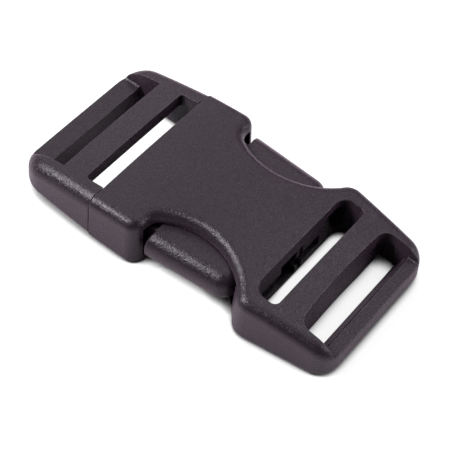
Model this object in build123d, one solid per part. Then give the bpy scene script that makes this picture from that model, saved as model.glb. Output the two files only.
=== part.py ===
"""Side-release buckle for 25 mm webbing, with a ladder lock at each end.

The socket is one moulding. The plug is one moulding too, drawn as its frame, its guide
tongue and two latch arms, so that each arm can flex at its root.

Frame: +X along the strap towards the socket's ladder lock, +Y across, +Z up. The origin is
at the middle of the closed buckle, on its underside. Lengths are in millimetres.
"""
from build123d import *
import math
import os

# ---------------------------------------------------------------- driving dimensions
LENGTH = 67.5                     # closed, end bar to end bar
CLOSED_WIDTH = 34.7               # across the socket's front block
SIDE_RAIL = 4.85                  # each side; the webbing takes the rest, 25 mm
PLUG_LENGTH = 17.95               # the part of the plug that stays outside the socket
SEAM_GAP = 0.2                    # between the plug's rails and the socket's mouth

# skin of the closed buckle; plan sizes are those at the underside
DRAFT = 2.5                       # degrees, all outer walls lean inwards
CREST_HEIGHT = 10.5               # highest point of the top
CREST_SETBACK = 3.3               # behind the front block
TOP_FALL_PLUG = 3.24              # of the crown, from there to the plug's end
TOP_FALL_LOCK = 3.98              # to the lock's end
TOP_FALL_CROSS = 0.37             # and across half the width
PLUG_NOSE_LENGTH = 6.0            # where the top rolls down to each end
PLUG_NOSE_DROP = 2.2
LOCK_NOSE_LENGTH = 4.0
LOCK_NOSE_DROP = 2.2
BASE_FLAT_START = 9.8             # behind the mouth; flat from there to the lock's nose
BASE_RISE = 1.48                  # of the underside, from there to the plug's end
BASE_NOSE_LENGTH = 4.0
BASE_NOSE_RADIUS = 7.0            # of the underside below the socket's end bar
PLUG_BASE_NOSE_LENGTH = 4.5
PLUG_BASE_NOSE_RADIUS = 6.5       # and below the plug's
EDGE_RADIUS = 1.9                 # rolled outer edge of the socket's top
BASE_EDGE_RADIUS = 0.9            # and of its underside
PLUG_EDGE_RADIUS = 2.6            # and the same on the plug, which is rounder
PLUG_BASE_EDGE_RADIUS = 1.4
RIM_RADIUS = 0.25                 # broken edge of the slots
BAR_END_RADIUS = 0.6              # where the top of an end bar meets the rails

# plug frame
PLUG_END_INSET = 0.75             # each side, at the end bar, from the closed width
PLUG_CORNER_RADIUS = 5.8
PLUG_SLOT_SIDE_GAP = 0.6          # beside the webbing, each side
PLUG_SLOT_CORNER_RADIUS = 0.8     # of the inner slot, beside the mid bar
PLUG_END_BAR = 4.1                # along X
PLUG_END_BAR_RAKE = 0.4           # its foot reaches this much further into the slot
PLUG_END_BAR_HEIGHT = 4.5
PLUG_END_SLOT = 4.7
PLUG_MID_BAR = 5.0
PLUG_MID_BAR_UNDERSIDE = 6.6
PLUG_INNER_SLOT = 4.3
CROSSBAR = 2.7                    # along X, inside the socket's mouth
CROSSBAR_FOOT = 1.5               # how far its ends run back into the rails

# socket
BLOCK_SHARE = 0.3583              # front block, which the latches catch behind, along the cavity
BLOCK_CORNER_RADIUS = 2.8
NOTCH_RADIUS = 2.4
NOTCH_INSET = 4.57                # each side, where the waist's curve meets the block
WAIST_INSET = 7.55                # and where it is deepest
WAIST_REAR_INSET = 2.25           # it is as deep as the notch again this far before the cavity's end
SHOULDER_RADIUS = 3.4
LOCK_INSET = 0.5                  # of the ladder lock behind the shoulders, each side
LOCK_INSET_PLACE = 1.75           # where: this far past the start of its first slot
LOCK_END_INSET = 2.5              # and at the lock's end
LOCK_CORNER_RADIUS = 4.0
LOCK_SLOT_SIDE_GAP = 0.2
SIDE_WALL = 2.35                  # beside the latch passage
CAVITY_FLOOR = 1.7
CAVITY_ROOF = 8.2
TAIL_BAY_INSET = 3.55             # each side, of the cavity between the shoulders
REAR_WALL = 2.3                   # between the cavity and the first webbing slot
WIDE_WINDOW = (-4.8, -0.25)       # windows in the rear wall, from Y to Y
NARROW_WINDOW = (0.5, 1.5)
WINDOW_SILL = 0.6
WINDOW_ROOF = 6.6
CORE_PORT_INSET = 3.35            # middle of one more opening, from the +Y side of the cavity
CORE_PORT_WIDTH = 4.8
CORE_PORT_ROOF = 7.5
WALL_GROOVE_TOP = 4.6             # groove across the rear wall, seen through the slot
WALL_GROOVE_BACK = 2.4            # its upper side slopes in to here
WALL_GROOVE_FOOT = 1.9
WALL_GROOVE_DEPTH = 0.8
WALL_GROOVE_END = 6.6             # along Y; the other end is at the slot's corner
LOCK_INNER_SLOT = 4.7
LOCK_MID_BAR = 4.1
LOCK_END_SLOT = 3.75
LOCK_SLOT_BOW = 0.5               # the end slot is this much narrower at its ends
LOCK_POCKET_DEPTH = 0.25          # square pocket at each end of the end slot, below its round corners
LOCK_POCKET_LENGTH = 3.0          # along X
LOCK_POCKET_ROOF = 5.0
LOCK_END_BAR_HEIGHT = 4.4
LOCK_END_BAR_TOP = 2.65           # top of the end bar, along X
LOCK_END_BAR_FOOT = 4.7           # and its foot: the slot side is raked
LOCK_END_BAR_STEP = 0.6           # the rake starts this far up
LOCK_END_BAR_LIP = 3.5            # and ends here, at a groove beside the bar's top
LOCK_BAR_GROOVE_WIDTH = 0.45
LOCK_BAR_GROOVE_DEPTH = 0.7
LOCK_SLOT_CORNER_RADIUS = 2.3
LOCK_SLOT_TIGHT_RADIUS = 1.2      # on the far side of the inner slot
LOCK_INNER_SIDE_GAP = 0.5         # the inner slot is a little longer than the end slot

# guide tongue and latch arms
SLIDE_GAP = 0.3                   # plug to socket, above, below and beside
LATCH_GAP = 0.7                   # latch face to block, with the plug pushed fully home
PAD_FRONT_INSET = 1.15            # of the thumb pads' edge at their latch faces, each side
PAD_REAR_INSET = 2.2              # and where it meets the shoulders
PAD_REAR_PLACE = 3.2              # which is this far before the cavity's end
PAD_FACE_RAKE = 0.5               # the latch face leans back this much towards the beam
PAD_DEPTH = 8.55                  # from the closed width to the pad's inner side
PAD_EDGE_RADIUS = 2.8
PAD_FACE_RADIUS = 0.35
PAD_TAIL_GAP = 1.35               # behind the pad, inside the cavity
PAD_CORNER_RADIUS = 3.0
PAD_THROAT = 3.0                  # along X, where the pad widens inwards from its beam
BEAM_SPREAD = 0.6                 # the beam runs outwards this much on its way to the pad
BEAM_THICKNESS = 2.0
BEAM_HEIGHT = 4.6
PIVOT_DEPTH = 2.7                 # hinge line of the flexing root, behind the socket's mouth
PIVOT_INSET = 5.95                # and inwards from the closed width
ROOT_RADIUS = 1.15
ROOT_GAP = 0.12
TONGUE_WIDTH = 5.6
TONGUE_FLANGE = 1.3
TONGUE_WEB = 1.5
TONGUE_TIP_GAP = 0.6              # short of the cavity's end
TONGUE_TIP_CHAMFER = 0.5

# ---------------------------------------------------------------- derived places
FAR = LENGTH                      # larger than the buckle's half, for cutting tools
PAST = 1.0                        # tools run this far past what they cut
NEAR = 0.1                        # edges and corners are found to within this
SEAM_RUNOUT = 2.0                 # outlines are drawn this far past the seam, then cut square
SKIN_STEP_X = 0.97                # spacing of the points that the top's skin is drawn through
SKIN_STEP_Y = 5.4
HALF_LENGTH = LENGTH / 2
HALF_WIDTH = CLOSED_WIDTH / 2
WEBBING_HALF = HALF_WIDTH - SIDE_RAIL
CAVITY_HALF = HALF_WIDTH - SIDE_WALL
TAIL_BAY_HALF = HALF_WIDTH - TAIL_BAY_INSET
PLUG_SLOT_HALF = WEBBING_HALF + PLUG_SLOT_SIDE_GAP
LOCK_SLOT_HALF = WEBBING_HALF + LOCK_SLOT_SIDE_GAP
LOCK_INNER_HALF = WEBBING_HALF + LOCK_INNER_SIDE_GAP

X_PLUG_END = -HALF_LENGTH
X_PLUG_SLOT = X_PLUG_END + PLUG_END_BAR
X_PLUG_MID = X_PLUG_SLOT + PLUG_END_SLOT
X_PLUG_INNER = X_PLUG_MID + PLUG_MID_BAR
X_CROSSBAR = X_PLUG_INNER + PLUG_INNER_SLOT
X_CROSSBAR_END = X_CROSSBAR + CROSSBAR
X_MOUTH = X_PLUG_END + PLUG_LENGTH
X_PIVOT = X_MOUTH + PIVOT_DEPTH
Y_PIVOT = HALF_WIDTH - PIVOT_INSET

X_LOCK_END = HALF_LENGTH
X_LOCK_BAR = X_LOCK_END - LOCK_END_BAR_TOP
X_LOCK_BAR_FOOT = X_LOCK_END - LOCK_END_BAR_FOOT
X_LOCK_END_SLOT = X_LOCK_BAR_FOOT - LOCK_END_SLOT
X_LOCK_MID = X_LOCK_END_SLOT - LOCK_MID_BAR
X_LOCK_SLOT = X_LOCK_MID - LOCK_INNER_SLOT
X_CAVITY_END = X_LOCK_SLOT - REAR_WALL
BLOCK_LENGTH = BLOCK_SHARE * (X_CAVITY_END - X_MOUTH)
X_BLOCK_REAR = X_MOUTH + BLOCK_LENGTH

PLUG_FLOOR = CAVITY_FLOOR + SLIDE_GAP
PLUG_ROOF = CAVITY_ROOF - SLIDE_GAP
PLUG_MIDDLE = (PLUG_FLOOR + PLUG_ROOF) / 2

WAIST_HALF_LENGTH = (X_CAVITY_END - X_BLOCK_REAR - WAIST_REAR_INSET) / 2
WAIST_DEPTH = WAIST_INSET - NOTCH_INSET
WAIST_RADIUS = (WAIST_HALF_LENGTH ** 2 + WAIST_DEPTH ** 2) / (2 * WAIST_DEPTH)
WAIST_X = X_BLOCK_REAR + WAIST_HALF_LENGTH
WAIST_CENTRE_Y = HALF_WIDTH - WAIST_INSET + WAIST_RADIUS
CREST_X = X_BLOCK_REAR + CREST_SETBACK
BASE_FLAT_X = X_MOUTH + BASE_FLAT_START


# ---------------------------------------------------------------- helpers
def block(x0, x1, y0, y1, z0, z1):
    """A box by its limits."""
    corner = Pos(x0, y0, z0)
    return corner * Box(x1 - x0, y1 - y0, z1 - z0, align=(Align.MIN, Align.MIN, Align.MIN))


def both_sides(shape):
    """A shape and its mirror image across the buckle's centre plane."""
    return shape + mirror(shape, Plane.XZ)


def prism(face, z0, z1):
    """A plan outline raised from one height to another."""
    return Pos(0, 0, z0) * extrude(face, amount=z1 - z0)


def drafted(outline):
    """A plan outline raised through the whole height, its walls leaning inwards."""
    height = CREST_HEIGHT + PAST
    lean = height * math.tan(math.radians(DRAFT))
    upper = Pos(0, 0, height) * offset(outline, amount=-lean, kind=Kind.INTERSECTION)
    return loft([outline, upper], ruled=True)


def top_height(x, y):
    """Height of the top's skin: crowned both ways, rolling down over each end."""
    past_plug_nose = max(0.0, X_PLUG_END + PLUG_NOSE_LENGTH - x) / PLUG_NOSE_LENGTH
    past_lock_nose = max(0.0, x - X_LOCK_END + LOCK_NOSE_LENGTH) / LOCK_NOSE_LENGTH
    fall, end = (TOP_FALL_PLUG, X_PLUG_END) if x < CREST_X else (TOP_FALL_LOCK, X_LOCK_END)
    lengthways = fall * ((x - CREST_X) / (end - CREST_X)) ** 2
    across = TOP_FALL_CROSS * (y / HALF_WIDTH) ** 2
    noses = PLUG_NOSE_DROP * past_plug_nose ** 2 + LOCK_NOSE_DROP * past_lock_nose ** 2
    return CREST_HEIGHT - lengthways - across - noses


def base_profile(reach_x):
    """Side view of all that lies above the underside, which rises towards both ends."""
    lock_nose_x = X_LOCK_END - BASE_NOSE_LENGTH
    plug_nose_x = X_PLUG_END + PLUG_BASE_NOSE_LENGTH
    rise_run = BASE_FLAT_X - X_PLUG_END
    rise_radius = rise_run ** 2 / (2 * BASE_RISE)
    rise_sweep = math.degrees(math.asin((BASE_FLAT_X - plug_nose_x) / rise_radius))
    lock_sweep = math.degrees(math.asin((reach_x - lock_nose_x) / BASE_NOSE_RADIUS))
    plug_sweep = math.degrees(math.asin((plug_nose_x + reach_x) / PLUG_BASE_NOSE_RADIUS))
    middle = Line((BASE_FLAT_X, 0), (lock_nose_x, 0))
    lock_nose = JernArc(middle @ 1, middle % 1, BASE_NOSE_RADIUS, lock_sweep)
    rise = JernArc(middle @ 0, (-1, 0), rise_radius, -rise_sweep)
    plug_nose = JernArc(rise @ 1, rise % 1, PLUG_BASE_NOSE_RADIUS, -plug_sweep)
    plug_tip = plug_nose @ 1
    lid = Polyline(lock_nose @ 1, (reach_x, FAR), (plug_tip.X, FAR), plug_tip)
    return make_face([middle, lock_nose, lid, plug_nose, rise])


def stock():
    """Everything between the crowned top and the underside, before any outline is cut."""
    reach_x = HALF_LENGTH + PAST
    reach_y = HALF_WIDTH + SIDE_RAIL
    steps_x = math.ceil(2 * reach_x / SKIN_STEP_X)
    steps_y = math.ceil(2 * reach_y / SKIN_STEP_Y)
    grid = [
        [
            Vector(x, y, top_height(x, y))
            for y in [reach_y * (2 * j / steps_y - 1) for j in range(steps_y + 1)]
        ]
        for x in [reach_x * (2 * i / steps_x - 1) for i in range(steps_x + 1)]
    ]
    skin = Face.make_surface_from_array_of_points(grid, tol=0.002, min_deg=3, max_deg=5)
    below_skin = extrude(skin, amount=FAR, dir=(0, 0, -1))
    profile = Plane.XZ * base_profile(reach_x)
    above_base = extrude(profile, amount=reach_y, both=True)
    return below_skin & above_base


def roll_edges(solid, seam_x, top_radius, base_radius):
    """Round the top and underside along the outline, but not where the halves meet."""
    def on_outline(edge):
        flat_lying = edge.bounding_box().size.Z < CREST_HEIGHT / 2
        at_seam = abs(edge.center().X - seam_x) < NEAR / 10
        return flat_lying and not at_seam
    outline = [e for e in solid.edges() if on_outline(e)]
    upper = [e for e in outline if e.center().Z > CREST_HEIGHT / 3]
    solid = fillet(upper, top_radius)
    outline = [e for e in solid.edges() if on_outline(e)]
    lower = [e for e in outline if e.bounding_box().max.Z < CREST_HEIGHT / 3]
    return fillet(lower, base_radius)


# ---------------------------------------------------------------- socket
def lock_flank(x):
    """Half width of the ladder lock, which tapers towards the end bar."""
    x0 = X_LOCK_SLOT + LOCK_INSET_PLACE
    slope = (LOCK_INSET - LOCK_END_INSET) / (X_LOCK_END - x0)
    return HALF_WIDTH - LOCK_INSET + slope * (x - x0)


def socket_outline():
    """Plan of the socket: front block, waist cut for the thumb pads, and ladder lock."""
    x0 = X_BLOCK_REAR - PAST
    y0 = lock_flank(x0)
    y1 = lock_flank(X_LOCK_END)
    rear = make_face(Polyline((x0, -y0), (X_LOCK_END, -y1), (X_LOCK_END, y1), (x0, y0), close=True))
    waist = both_sides(Pos(WAIST_X, WAIST_CENTRE_Y) * Circle(WAIST_RADIUS))
    front_length = BLOCK_LENGTH + SEAM_RUNOUT
    front = Pos(X_BLOCK_REAR - front_length / 2, 0) * Rectangle(front_length, CLOSED_WIDTH)
    outline = (rear - waist) + front

    def corners(low, high, inner, outer):
        inside = [v for v in outline.vertices() if low < v.X < high]
        return [v for v in inside if inner < abs(v.Y) < outer]

    block_x = (X_BLOCK_REAR - NEAR, X_BLOCK_REAR + NEAR)
    outline = fillet(corners(*block_x, HALF_WIDTH - NEAR, FAR), BLOCK_CORNER_RADIUS)
    block_face_end = HALF_WIDTH - BLOCK_CORNER_RADIUS - NEAR
    outline = fillet(corners(*block_x, 0, block_face_end), NOTCH_RADIUS)
    outline = fillet(corners(WAIST_X, X_LOCK_END - NEAR, 0, FAR), SHOULDER_RADIUS)
    return fillet(corners(X_LOCK_END - NEAR, FAR, 0, FAR), LOCK_CORNER_RADIUS)


def inner_slot_cutter():
    """The socket's first webbing slot: round corners on the cavity side, tight ones beyond."""
    middle = (X_LOCK_SLOT + X_LOCK_MID) / 2
    plan = Pos(middle, 0) * Rectangle(LOCK_INNER_SLOT, 2 * LOCK_INNER_HALF)
    plan = fillet(plan.vertices().group_by(Axis.X)[0], LOCK_SLOT_CORNER_RADIUS)
    plan = fillet(plan.vertices().group_by(Axis.X)[-1], LOCK_SLOT_TIGHT_RADIUS)
    return prism(plan, -FAR, FAR)


def end_slot_cutter():
    """The last slot: a bowed mid bar on one side, the low raked end bar on the other."""
    half = LOCK_SLOT_HALF
    x_out = X_LOCK_END + PAST
    bow = ThreePointArc(
        (X_LOCK_END_SLOT + LOCK_SLOT_BOW, -half),
        (X_LOCK_END_SLOT, 0),
        (X_LOCK_END_SLOT + LOCK_SLOT_BOW, half),
    )
    plan = make_face([bow, Polyline(bow @ 1, (x_out, half), (x_out, -half), bow @ 0)])
    bar_side = [v for v in plan.vertices() if v.X < X_LOCK_BAR_FOOT]
    plan = fillet(bar_side, LOCK_SLOT_CORNER_RADIUS)
    section = Plane.XZ * make_face(Polyline(
        (X_LOCK_MID, -FAR),
        (X_LOCK_BAR_FOOT, -FAR),
        (X_LOCK_BAR_FOOT, LOCK_END_BAR_STEP),
        (X_LOCK_BAR - LOCK_BAR_GROOVE_WIDTH, LOCK_END_BAR_LIP),
        (X_LOCK_BAR, LOCK_END_BAR_LIP - LOCK_BAR_GROOVE_DEPTH),
        (X_LOCK_BAR, LOCK_END_BAR_HEIGHT),
        (x_out, LOCK_END_BAR_HEIGHT),
        (x_out, FAR),
        (X_LOCK_MID, FAR),
        close=True,
    ))
    slot = prism(plan, -FAR, FAR) & extrude(section, amount=FAR, both=True)
    slot = round_bar_ends(slot, LOCK_END_BAR_HEIGHT)
    x_pocket = X_LOCK_END_SLOT + LOCK_POCKET_DEPTH / 2
    y_pocket = half + LOCK_POCKET_DEPTH
    pocket = block(x_pocket, x_pocket + LOCK_POCKET_LENGTH, -y_pocket, y_pocket, -PAST, LOCK_POCKET_ROOF)
    return slot + pocket


def round_bar_ends(cutter, height):
    """Round a cutter where it leaves the top of an end bar beside the rails."""
    lengthways = cutter.edges().filter_by(Axis.X)
    return fillet([e for e in lengthways if abs(e.center().Z - height) < NEAR], BAR_END_RADIUS)


def soften_rims(solid, x0, x1, half):
    """Break the upper and lower edges of an opening."""
    def on_rim(edge):
        box = edge.bounding_box()
        inside = x0 - NEAR < box.min.X and box.max.X < x1 + NEAR
        across = max(abs(box.min.Y), abs(box.max.Y)) < half + NEAR
        return inside and across and box.size.Z < 2 * RIM_RADIUS
    return fillet([e for e in solid.edges() if on_rim(e)], RIM_RADIUS)


def cavity():
    """The hollow that takes the plug: open at the mouth and along the waist."""
    shoulder_y = WAIST_CENTRE_Y - TAIL_BAY_HALF
    shoulder_x = WAIST_X + math.sqrt(WAIST_RADIUS ** 2 - shoulder_y ** 2)
    z = (CAVITY_FLOOR, CAVITY_ROOF)
    passage = block(X_MOUTH - PAST, shoulder_x, -CAVITY_HALF, CAVITY_HALF, *z)
    tail_bay = block(WAIST_X, X_CAVITY_END, -TAIL_BAY_HALF, TAIL_BAY_HALF, *z)
    return passage + tail_bay


def rear_wall_openings():
    """Two windows and one core port through the wall between the cavity and the first slot."""
    x = (X_CAVITY_END - NEAR, X_LOCK_SLOT + PAST)
    core_y = TAIL_BAY_HALF - CORE_PORT_INSET
    core_half = CORE_PORT_WIDTH / 2
    core_port = block(*x, core_y - core_half, core_y + core_half, CAVITY_FLOOR, CORE_PORT_ROOF)
    wide = block(*x, *WIDE_WINDOW, WINDOW_SILL, WINDOW_ROOF)
    narrow = block(*x, *NARROW_WINDOW, WINDOW_SILL, WINDOW_ROOF)
    return core_port + wide + narrow


def rear_wall_groove():
    """Groove along the slot side of that wall, sloping in from above."""
    x_out = X_LOCK_SLOT + PAST
    x_back = X_LOCK_SLOT - WALL_GROOVE_DEPTH
    section = Plane.XZ * make_face(Polyline(
        (x_out, WALL_GROOVE_TOP),
        (X_LOCK_SLOT, WALL_GROOVE_TOP),
        (x_back, WALL_GROOVE_BACK),
        (x_back, WALL_GROOVE_FOOT),
        (x_out, WALL_GROOVE_FOOT),
        close=True,
    ))
    start = LOCK_SLOT_CORNER_RADIUS - LOCK_INNER_HALF
    return Pos(0, WALL_GROOVE_END, 0) * extrude(section, amount=WALL_GROOVE_END - start)


def make_socket():
    """Socket: front block, waist, and ladder lock."""
    behind_mouth = block(X_MOUTH, FAR, -FAR, FAR, -FAR, FAR)
    body = drafted(socket_outline()) & stock() & behind_mouth
    body = roll_edges(body, X_MOUTH, EDGE_RADIUS, BASE_EDGE_RADIUS)
    body -= inner_slot_cutter()
    body = soften_rims(body, X_LOCK_SLOT, X_LOCK_MID, LOCK_INNER_HALF)
    body -= end_slot_cutter() + rear_wall_groove()
    return body - cavity() - rear_wall_openings()


# ---------------------------------------------------------------- plug
def plug_slots():
    """Both webbing slots, the passage below the mid bar and the step down to the end bar."""
    half = PLUG_SLOT_HALF
    end_section = Plane.XZ * make_face(Polyline(
        (X_PLUG_SLOT + PLUG_END_BAR_RAKE, 0),
        (X_PLUG_SLOT, PLUG_END_BAR_HEIGHT),
        (X_PLUG_SLOT, FAR),
        (X_PLUG_MID, FAR),
        (X_PLUG_MID, 0),
        close=True,
    ))
    end_slot = extrude(end_section, amount=half, both=True)
    x_inner = (X_PLUG_INNER + X_MOUTH) / 2
    inner_plan = Pos(x_inner, 0) * Rectangle(X_MOUTH - X_PLUG_INNER, 2 * half)
    bar_side = inner_plan.vertices().group_by(Axis.X)[0]
    inner_slot = prism(fillet(bar_side, PLUG_SLOT_CORNER_RADIUS), -PAST, FAR)
    under_mid_bar = (X_PLUG_MID, X_PLUG_INNER + PAST)
    passage = block(*under_mid_bar, -half, half, -PAST, PLUG_MID_BAR_UNDERSIDE)
    above_end_bar = (X_PLUG_END - PAST, X_PLUG_SLOT)
    step = block(*above_end_bar, -half, half, PLUG_END_BAR_HEIGHT, FAR)
    step = round_bar_ends(step, PLUG_END_BAR_HEIGHT)
    return end_slot + inner_slot + passage + step


def make_plug_frame():
    """Ladder-lock frame of the plug, with the crossbar that its tongue and arms grow from."""
    x1 = X_MOUTH - SEAM_GAP
    y0 = HALF_WIDTH - PLUG_END_INSET
    slope = (HALF_WIDTH - y0) / (x1 - X_PLUG_END)
    x_out = x1 + SEAM_RUNOUT
    y_out = HALF_WIDTH + slope * SEAM_RUNOUT
    outline = make_face(Polyline(
        (X_PLUG_END, -y0),
        (x_out, -y_out),
        (x_out, y_out),
        (X_PLUG_END, y0),
        close=True,
    ))
    ends = outline.vertices().group_by(Axis.X)[0]
    outline = fillet(ends, PLUG_CORNER_RADIUS)
    ahead_of_seam = block(-FAR, x1, -FAR, FAR, -FAR, FAR)
    body = drafted(outline) & stock() & ahead_of_seam
    body = roll_edges(body, x1, PLUG_EDGE_RADIUS, PLUG_BASE_EDGE_RADIUS)
    body -= plug_slots()
    reach = CAVITY_HALF - SLIDE_GAP
    z = (PLUG_FLOOR, PLUG_ROOF)
    body += block(X_CROSSBAR, X_CROSSBAR_END, -reach, reach, *z)
    body += both_sides(block(x1 - CROSSBAR_FOOT, X_CROSSBAR_END, PLUG_SLOT_HALF, reach, *z))
    knuckle = Pos(X_PIVOT, Y_PIVOT) * Circle(ROOT_RADIUS + ROOT_GAP)
    return body - both_sides(prism(knuckle, -PAST, FAR))


def make_guide_tongue():
    """Guide tongue: two upright flanges joined by a flat web."""
    x0 = X_CROSSBAR_END - PAST
    x1 = X_CAVITY_END - TONGUE_TIP_GAP
    half = TONGUE_WIDTH / 2
    inner = half - TONGUE_FLANGE
    web_z = (PLUG_MIDDLE - TONGUE_WEB / 2, PLUG_MIDDLE + TONGUE_WEB / 2)
    body = block(X_CROSSBAR_END, x1, -half, half, PLUG_FLOOR, PLUG_ROOF)
    body -= block(x0, x1 + PAST, -inner, inner, web_z[1], FAR)
    body -= block(x0, x1 + PAST, -inner, inner, -PAST, web_z[0])
    tip_corners = body.edges().filter_by(Axis.Z).group_by(Axis.X)[-1]
    outer = [e for e in tip_corners if abs(e.center().Y) > half - NEAR]
    return chamfer(outer, TONGUE_TIP_CHAMFER)


def pad_outer(x):
    """Distance of a pad's thumb edge from the centre plane."""
    x_face = X_BLOCK_REAR + LATCH_GAP
    x_rear = X_CAVITY_END - PAD_REAR_PLACE
    slope = (PAD_FRONT_INSET - PAD_REAR_INSET) / (x_rear - x_face)
    return HALF_WIDTH - PAD_FRONT_INSET + slope * (x - x_face)


def pad_plan():
    """Plan of one pad: raked latch face, thumb edge, and a round rear corner."""
    x_face = X_BLOCK_REAR + LATCH_GAP
    x_heel = x_face + PAD_FACE_RAKE
    x_tail = X_CAVITY_END - PAD_TAIL_GAP
    y_in = HALF_WIDTH - PAD_DEPTH
    y_beam = Y_PIVOT + BEAM_SPREAD
    shape = make_face(Polyline(
        (x_face, pad_outer(x_face)),
        (x_tail, pad_outer(x_tail)),
        (x_tail, y_in),
        (x_heel + PAD_THROAT, y_in),
        (x_heel, y_beam - BEAM_THICKNESS / 2),
        (x_heel, y_beam + BEAM_THICKNESS / 2),
        close=True,
    ))
    outer_rear = shape.vertices().group_by(Axis.X)[-1].sort_by(Axis.Y)[-1]
    return fillet(outer_rear, PAD_CORNER_RADIUS)


def make_latch_arm():
    """Latch arm of the +Y side: round root, slim beam, and thumb pad with a half-round edge."""
    x_face = X_BLOCK_REAR + LATCH_GAP
    x_tail = X_CAVITY_END - PAD_TAIL_GAP
    y_in = HALF_WIDTH - PAD_DEPTH
    pad = prism(pad_plan(), PLUG_FLOOR, PLUG_ROOF)

    def on_thumb_side(edge):
        box = edge.bounding_box()
        flat_lying = box.size.Z < NEAR
        at_tail = box.min.X > x_tail - NEAR
        along_edge = box.min.Y > y_in + NEAR and box.max.X > x_face + PAD_THROAT
        return flat_lying and (at_tail or along_edge)
    pad = fillet([e for e in pad.edges() if on_thumb_side(e)], PAD_EDGE_RADIUS)
    latch_face = pad.faces().sort_by(Axis.X)[0]
    pad = fillet(latch_face.edges(), PAD_FACE_RADIUS)
    half = BEAM_THICKNESS / 2
    x_heel = x_face + PAD_FACE_RAKE
    beam = make_face(Polyline(
        (X_PIVOT, Y_PIVOT - half),
        (x_heel + half, Y_PIVOT + BEAM_SPREAD - half),
        (x_heel + half, Y_PIVOT + BEAM_SPREAD + half),
        (X_PIVOT, Y_PIVOT + half),
        close=True,
    ))
    root = Pos(X_PIVOT, Y_PIVOT) * Circle(ROOT_RADIUS)
    z = (PLUG_MIDDLE - BEAM_HEIGHT / 2, PLUG_MIDDLE + BEAM_HEIGHT / 2)
    return pad + prism(beam + root, *z)


# ---------------------------------------------------------------- parts
latch_arm = make_latch_arm()
PARTS = {
    "socket_body": make_socket(),
    "plug_frame": make_plug_frame(),
    "guide_tongue": make_guide_tongue(),
    "latch_arm_left": latch_arm,
    "latch_arm_right": mirror(latch_arm, Plane.XZ),
}

os.makedirs("parts", exist_ok=True)
for name, shape in PARTS.items():
    export_step(shape, f"parts/{name}.step")
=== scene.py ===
import math

import bpy
from mathutils import Matrix, Vector


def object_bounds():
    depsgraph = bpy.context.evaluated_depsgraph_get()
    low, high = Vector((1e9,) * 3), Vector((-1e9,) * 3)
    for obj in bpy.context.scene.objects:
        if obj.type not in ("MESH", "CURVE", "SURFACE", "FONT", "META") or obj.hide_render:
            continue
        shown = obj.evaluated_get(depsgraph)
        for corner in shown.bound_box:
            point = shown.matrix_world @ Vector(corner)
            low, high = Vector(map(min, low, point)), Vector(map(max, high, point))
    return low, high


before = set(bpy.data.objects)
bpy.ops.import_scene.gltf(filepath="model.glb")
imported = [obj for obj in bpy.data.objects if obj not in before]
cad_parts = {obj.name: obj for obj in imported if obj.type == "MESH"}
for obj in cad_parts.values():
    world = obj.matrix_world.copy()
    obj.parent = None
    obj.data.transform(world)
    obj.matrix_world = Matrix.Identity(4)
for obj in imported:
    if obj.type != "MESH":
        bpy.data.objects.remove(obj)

CAD_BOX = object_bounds()
MM = 0.001
WHITE = (1.0, 1.0, 1.0, 1)

# Camera: azimuth 0 looks along +Y, elevation is above the horizon, roll is about the line of sight.
CAMERA_AZIMUTH = 33.777
CAMERA_ELEVATION = 51.723
CAMERA_ROLL = 5.473
CAMERA_DISTANCE = 241.70 * MM
CAMERA_AIM = Vector((2.785, -2.579, 4.6)) * MM
CAMERA_LENS = 111.36
CAMERA_NEAR = 10 * MM
CAMERA_FAR = 20.0
SENSOR_WIDTH = 36.0

# Softboxes: azimuth and elevation as the camera's, distance, width and height in metres, watts.
SOFTBOXES = {
    "front_left_softbox": (306, 47, 1.0, 0.34, 0.34, 11.5),
    "rear_right_softbox": (125, 22, 1.0, 0.5, 0.35, 3.4),
    "rear_left_softbox": (233, 35, 1.0, 0.7, 0.5, 1.7),
    "rear_top_softbox": (172, 62, 1.0, 0.5, 0.5, 2.3),
}
WORLD_STRENGTH = 0.08

# Plastic: how its surface answers light.
PLASTIC_IOR = 1.5
GLOSS_LEVEL = 0.40
GLOSS_TINT = (1.0, 0.95, 1.0, 1)
SHEEN_WEIGHT = 0.16
SHEEN_ROUGHNESS = 0.45
SHEEN_TINT = (1.0, 0.60, 0.94, 1)

# Plastic: the patterns on it. A noise is its waves per metre, its octaves and how strong they stay. A span
# is the two values of a pattern at which what it steers begins to change and has changed in full.
GRAIN_NOISE = (3400, 2, 0.65)     # pits of the spark-eroded mould
FLOW_NOISE = (70, 3, 0.5)         # slow drift of the colour over a piece
GLOSS_NOISE = (1100, 3, 0.5)      # patches of higher and lower gloss
HIGHLIGHT_AND_POLISH_NOISE = (260, 4, 0.5)        # stretches of an edge where its painted highlight and its polish are stronger and weaker
SPECKLE_SPAN = (0.36, 0.64)
GLOSS_SPAN = (0.35, 0.65)
HIGHLIGHT_AND_POLISH_SPAN = (0.38, 0.62)
GRAIN_SHARE = 0.6                 # of the grain in the colour's speckle
FLOW_SHARE = 1 - GRAIN_SHARE
LEAST_HIGHLIGHT_AND_POLISH = 0.35                 # where an edge's painted highlight and polish are weakest, against 1 where strongest
EDGE_RADIUS = 0.30 * MM           # how far the rounded shading, the painted highlight and the polish of an edge reach on to the faces
EDGE_SAMPLES = 4
EDGE_SPAN = (0.995, 0.93)         # of the cosine between the face and the rounded edge
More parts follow.
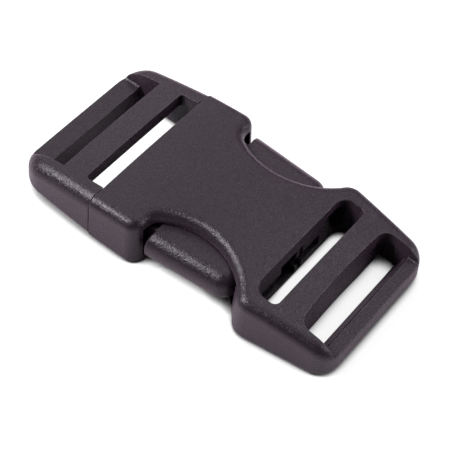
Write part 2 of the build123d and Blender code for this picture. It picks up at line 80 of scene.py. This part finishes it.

# Floor: lifted to plain white where it is seen, less so close to the object as a painted shadow. A reach is
# how far round the object the lift falls off, and a span is how open the sky is where it begins and where it
# is full.
FLOOR_COLOUR = (0.38, 0.38, 0.38, 1)
FLOOR_ROUGHNESS = 0.9
FLOOR_HALF = 3.0                  # from its middle to each side
FLOOR_LIFT = 0.84
SKY_SAMPLES = 24
CONTACT_REACH = 3.4 * MM          # as the camera sees the floor: how far its painted contact shadow reaches
CONTACT_SPAN = (0.38, 0.72)
MIRROR_REACH = 12.0 * MM          # as the plastic mirrors the floor: how far the painted shade in its painted reflection reaches
MIRROR_SPAN = (0.25, 1.25)
# violet tint of the floor's painted reflection, cast on the plastic's lower sides
PAINTED_REFLECTION_TINT = (1.0, 0.84, 0.97, 1)
POOL_SPAN = (130 * MM, 30 * MM)   # distances at which the painted reflection of the glowing floor begins and is full

# Sockets of a Mix node's colours, by number, because its other data types use the same names.
MIX_FIRST = 6
MIX_SECOND = 7
MIX_RESULT = 2


def direction(azimuth, elevation):
    """The unit vector towards a place seen at that azimuth and elevation."""
    a, e = math.radians(azimuth), math.radians(elevation)
    return Vector((math.sin(a) * math.cos(e), -math.cos(a) * math.cos(e), math.sin(e)))


def node(tree, kind, **inputs):
    """A shader node with the sockets named in inputs set; spaces in socket names are underscores here."""
    made = tree.nodes.new(kind)
    for name, value in inputs.items():
        made.inputs[name.replace("_", " ")].default_value = value
    return made


def maths(tree, operation, first, second):
    """A Math node; each operand is a socket or a number."""
    made = tree.nodes.new("ShaderNodeMath")
    made.operation = operation
    for value, socket in zip((first, second), made.inputs):
        if isinstance(value, (int, float)):
            socket.default_value = value
        else:
            tree.links.new(value, socket)
    return made.outputs["Value"]


def vector_maths(tree, operation, *operands):
    """A Vector Math node that gives a number; each operand is a socket."""
    made = tree.nodes.new("ShaderNodeVectorMath")
    made.operation = operation
    for value, socket in zip(operands, made.inputs):
        tree.links.new(value, socket)
    return made.outputs["Value"]


def noise(tree, coordinates, scale, detail, roughness):
    made = node(tree, "ShaderNodeTexNoise", Scale=scale, Detail=detail, Roughness=roughness)
    tree.links.new(coordinates, made.inputs["Vector"])
    return made.outputs["Fac"]


def ramp(tree, value, span, low_colour, high_colour):
    """A colour that goes from one to the other as the value crosses the span."""
    made = tree.nodes.new("ShaderNodeValToRGB")
    for end, position, colour in zip(made.color_ramp.elements, span, (low_colour, high_colour)):
        end.position = position
        end.color = colour
    tree.links.new(value, made.inputs["Fac"])
    return made.outputs["Color"]


def rescale(tree, value, span, low=0.0, high=1.0):
    """From low to high, with soft ends, as the value crosses the span, which may run downwards."""
    made = node(tree, "ShaderNodeMapRange", From_Min=span[0], From_Max=span[1], To_Min=low, To_Max=high)
    made.interpolation_type = "SMOOTHSTEP"
    tree.links.new(value, made.inputs["Value"])
    return made.outputs["Result"]


def blend(tree, factor, first, second):
    """A colour mix; each colour is a socket or a tuple."""
    made = tree.nodes.new("ShaderNodeMix")
    made.data_type = "RGBA"
    tree.links.new(factor, made.inputs["Factor"])
    for colour, socket in ((first, made.inputs[MIX_FIRST]), (second, made.inputs[MIX_SECOND])):
        if isinstance(colour, tuple):
            socket.default_value = colour
        else:
            tree.links.new(colour, socket)
    return made.outputs[MIX_RESULT]


def edge_highlight_and_polish(tree, place, rounded_normal):
    """1 on sharp edges where their painted highlight and polish are strongest, 0 on the faces."""
    face_normal = tree.nodes.new("ShaderNodeNewGeometry").outputs["Normal"]
    on_edge = rescale(tree, vector_maths(tree, "DOT_PRODUCT", rounded_normal, face_normal), EDGE_SPAN)
    amount = rescale(tree, noise(tree, place, *HIGHLIGHT_AND_POLISH_NOISE), HIGHLIGHT_AND_POLISH_SPAN, low=LEAST_HIGHLIGHT_AND_POLISH)
    return maths(tree, "MULTIPLY", on_edge, amount)


def moulded_plastic(name, dark, light, edge_highlight_colour, roughness_low, roughness_high, roughness_on_edges, grain_depth):
    """Matte moulded plastic: the fine grain of a spark-eroded mould, with a highlight painted lighter on the
    outer edges, which are also smoother.
    """
    material = bpy.data.materials.new(name)
    material.use_nodes = True
    tree = material.node_tree
    tree.nodes.clear()
    output = tree.nodes.new("ShaderNodeOutputMaterial")
    shader = node(
        tree,
        "ShaderNodeBsdfPrincipled",
        IOR=PLASTIC_IOR,
        Specular_IOR_Level=GLOSS_LEVEL,
        Specular_Tint=GLOSS_TINT,
        Sheen_Weight=SHEEN_WEIGHT,
        Sheen_Roughness=SHEEN_ROUGHNESS,
        Sheen_Tint=SHEEN_TINT,
    )
    tree.links.new(shader.outputs["BSDF"], output.inputs["Surface"])

    place = tree.nodes.new("ShaderNodeTexCoord").outputs["Object"]
    rounded = node(tree, "ShaderNodeBevel", Radius=EDGE_RADIUS)
    rounded.samples = EDGE_SAMPLES
    highlight_and_polish = edge_highlight_and_polish(tree, place, rounded.outputs["Normal"])
    pits = noise(tree, place, *GRAIN_NOISE)
    flow = noise(tree, place, *FLOW_NOISE)

    flow_part = maths(tree, "MULTIPLY", flow, FLOW_SHARE)
    grain_part = maths(tree, "MULTIPLY", pits, GRAIN_SHARE)
    colour = ramp(tree, maths(tree, "ADD", flow_part, grain_part), SPECKLE_SPAN, dark, light)
    # painted highlight: the sharp edges are coloured lighter, where a rounded edge would catch the light
    tree.links.new(blend(tree, highlight_and_polish, colour, edge_highlight_colour), shader.inputs["Base Color"])

    rough = rescale(tree, noise(tree, place, *GLOSS_NOISE), GLOSS_SPAN, roughness_low, roughness_high)
    polish = node(tree, "ShaderNodeMapRange", To_Max=roughness_on_edges)
    tree.links.new(highlight_and_polish, polish.inputs["Value"])
    tree.links.new(rough, polish.inputs["To Min"])
    tree.links.new(polish.outputs["Result"], shader.inputs["Roughness"])

    bump = node(tree, "ShaderNodeBump", Strength=1.0, Distance=grain_depth)
    tree.links.new(pits, bump.inputs["Height"])
    tree.links.new(rounded.outputs["Normal"], bump.inputs["Normal"])
    tree.links.new(bump.outputs["Normal"], shader.inputs["Normal"])
    return material


def open_sky(tree, reach, span):
    """1 where nothing stands within reach above the floor, falling to 0 close to the object."""
    sky = node(tree, "ShaderNodeAmbientOcclusion", Distance=reach)
    sky.samples = SKY_SAMPLES
    return rescale(tree, sky.outputs["AO"], span)


def floor_lift(tree, rays):
    """How far the floor is lifted to white: for the camera, with a painted shadow close to the object, and in
    what the plastic mirrors, as a painted reflection.
    """
    # painted shadow: the white that the camera sees fades close to the object
    seen = maths(tree, "MULTIPLY", rays["Is Camera Ray"], open_sky(tree, CONTACT_REACH, CONTACT_SPAN))
    away = vector_maths(tree, "LENGTH", tree.nodes.new("ShaderNodeTexCoord").outputs["Object"])
    # painted reflection: the floor glows in the plastic's gloss, with painted shade close to the object and
    # fading far from it
    mirrored = maths(tree, "ADD", rays["Is Glossy Ray"], rays["Is Transmission Ray"])
    mirrored = maths(tree, "MULTIPLY", mirrored, open_sky(tree, MIRROR_REACH, MIRROR_SPAN))
    mirrored = maths(tree, "MULTIPLY", mirrored, rescale(tree, away, POOL_SPAN))
    return maths(tree, "MULTIPLY", maths(tree, "ADD", seen, mirrored), FLOOR_LIFT)


def white_paper(name):
    """Pale matte paper that shows as plain white, keeps the object's real shadow, has a shadow painted in
    close to the object, and glows in the plastic's gloss as a painted reflection.
    """
    material = bpy.data.materials.new(name)
    material.use_nodes = True
    tree = material.node_tree
    paper = tree.nodes["Principled BSDF"]
    paper.inputs["Base Color"].default_value = FLOOR_COLOUR
    paper.inputs["Roughness"].default_value = FLOOR_ROUGHNESS
    paper.inputs["Specular IOR Level"].default_value = 0.0

    rays = tree.nodes.new("ShaderNodeLightPath").outputs
    lift = tree.nodes.new("ShaderNodeEmission")
    # the floor's glow in the plastic's gloss is tinted violet, as a painted reflection
    tree.links.new(blend(tree, rays["Is Glossy Ray"], WHITE, PAINTED_REFLECTION_TINT), lift.inputs["Color"])
    tree.links.new(floor_lift(tree, rays), lift.inputs["Strength"])

    both = tree.nodes.new("ShaderNodeAddShader")
    tree.links.new(paper.outputs["BSDF"], both.inputs[0])
    tree.links.new(lift.outputs["Emission"], both.inputs[1])
    tree.links.new(both.outputs["Shader"], tree.nodes["Material Output"].inputs["Surface"])
    return material


def set_floor():
    low, side = CAD_BOX[0].z, FLOOR_HALF
    corners = [(-side, -side, low), (side, -side, low), (side, side, low), (-side, side, low)]
    mesh = bpy.data.meshes.new("floor")
    mesh.from_pydata(corners, [], [(0, 1, 2, 3)])
    mesh.materials.append(white_paper("white_paper"))
    floor = bpy.data.objects.new("floor", mesh)
    bpy.context.scene.collection.objects.link(floor)


def set_world():
    world = bpy.data.worlds.new("studio")
    bpy.context.scene.world = world
    world.use_nodes = True
    background = world.node_tree.nodes["Background"]
    background.inputs["Color"].default_value = WHITE
    background.inputs["Strength"].default_value = WORLD_STRENGTH


def set_camera():
    data = bpy.data.cameras.new("camera")
    data.lens = CAMERA_LENS
    data.sensor_width = SENSOR_WIDTH
    data.clip_start = CAMERA_NEAR
    data.clip_end = CAMERA_FAR
    camera = bpy.data.objects.new("camera", data)
    bpy.context.scene.collection.objects.link(camera)
    turn = (
        Matrix.Rotation(math.radians(CAMERA_AZIMUTH), 4, "Z")
        @ Matrix.Rotation(math.radians(90 - CAMERA_ELEVATION), 4, "X")
        @ Matrix.Rotation(math.radians(CAMERA_ROLL), 4, "Z")
    )
    place = CAMERA_AIM + direction(CAMERA_AZIMUTH, CAMERA_ELEVATION) * CAMERA_DISTANCE
    camera.matrix_world = Matrix.Translation(place) @ turn
    bpy.context.scene.camera = camera


def softbox(name, azimuth, elevation, distance, width, height, watts):
    """A rectangular area light that faces what the camera aims at."""
    data = bpy.data.lights.new(name, "AREA")
    data.shape = "RECTANGLE"
    data.size, data.size_y = width, height
    data.energy = watts
    lamp = bpy.data.objects.new(name, data)
    towards = direction(azimuth, elevation)
    lamp.location = CAMERA_AIM + towards * distance
    lamp.rotation_mode = "QUATERNION"
    lamp.rotation_quaternion = (-towards).to_track_quat("-Z", "Y")
    bpy.context.scene.collection.objects.link(lamp)


set_camera()
set_floor()
set_world()
for softbox_name, setting in SOFTBOXES.items():
    softbox(softbox_name, *setting)

plastic = moulded_plastic(
    "black_plastic_grain",
    dark=(0.014, 0.0095, 0.0138, 1),
    light=(0.021, 0.0145, 0.0208, 1),
    # colour of the edges' painted highlight, far lighter than the plastic
    edge_highlight_colour=(0.100, 0.086, 0.098, 1),
    roughness_low=0.26,
    roughness_high=0.33,
    roughness_on_edges=0.24,
    grain_depth=0.095 * MM,
)
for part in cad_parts.values():
    for face_slot in part.material_slots:
        face_slot.material = plastic

bpy.context.scene.view_settings.view_transform = "Standard"
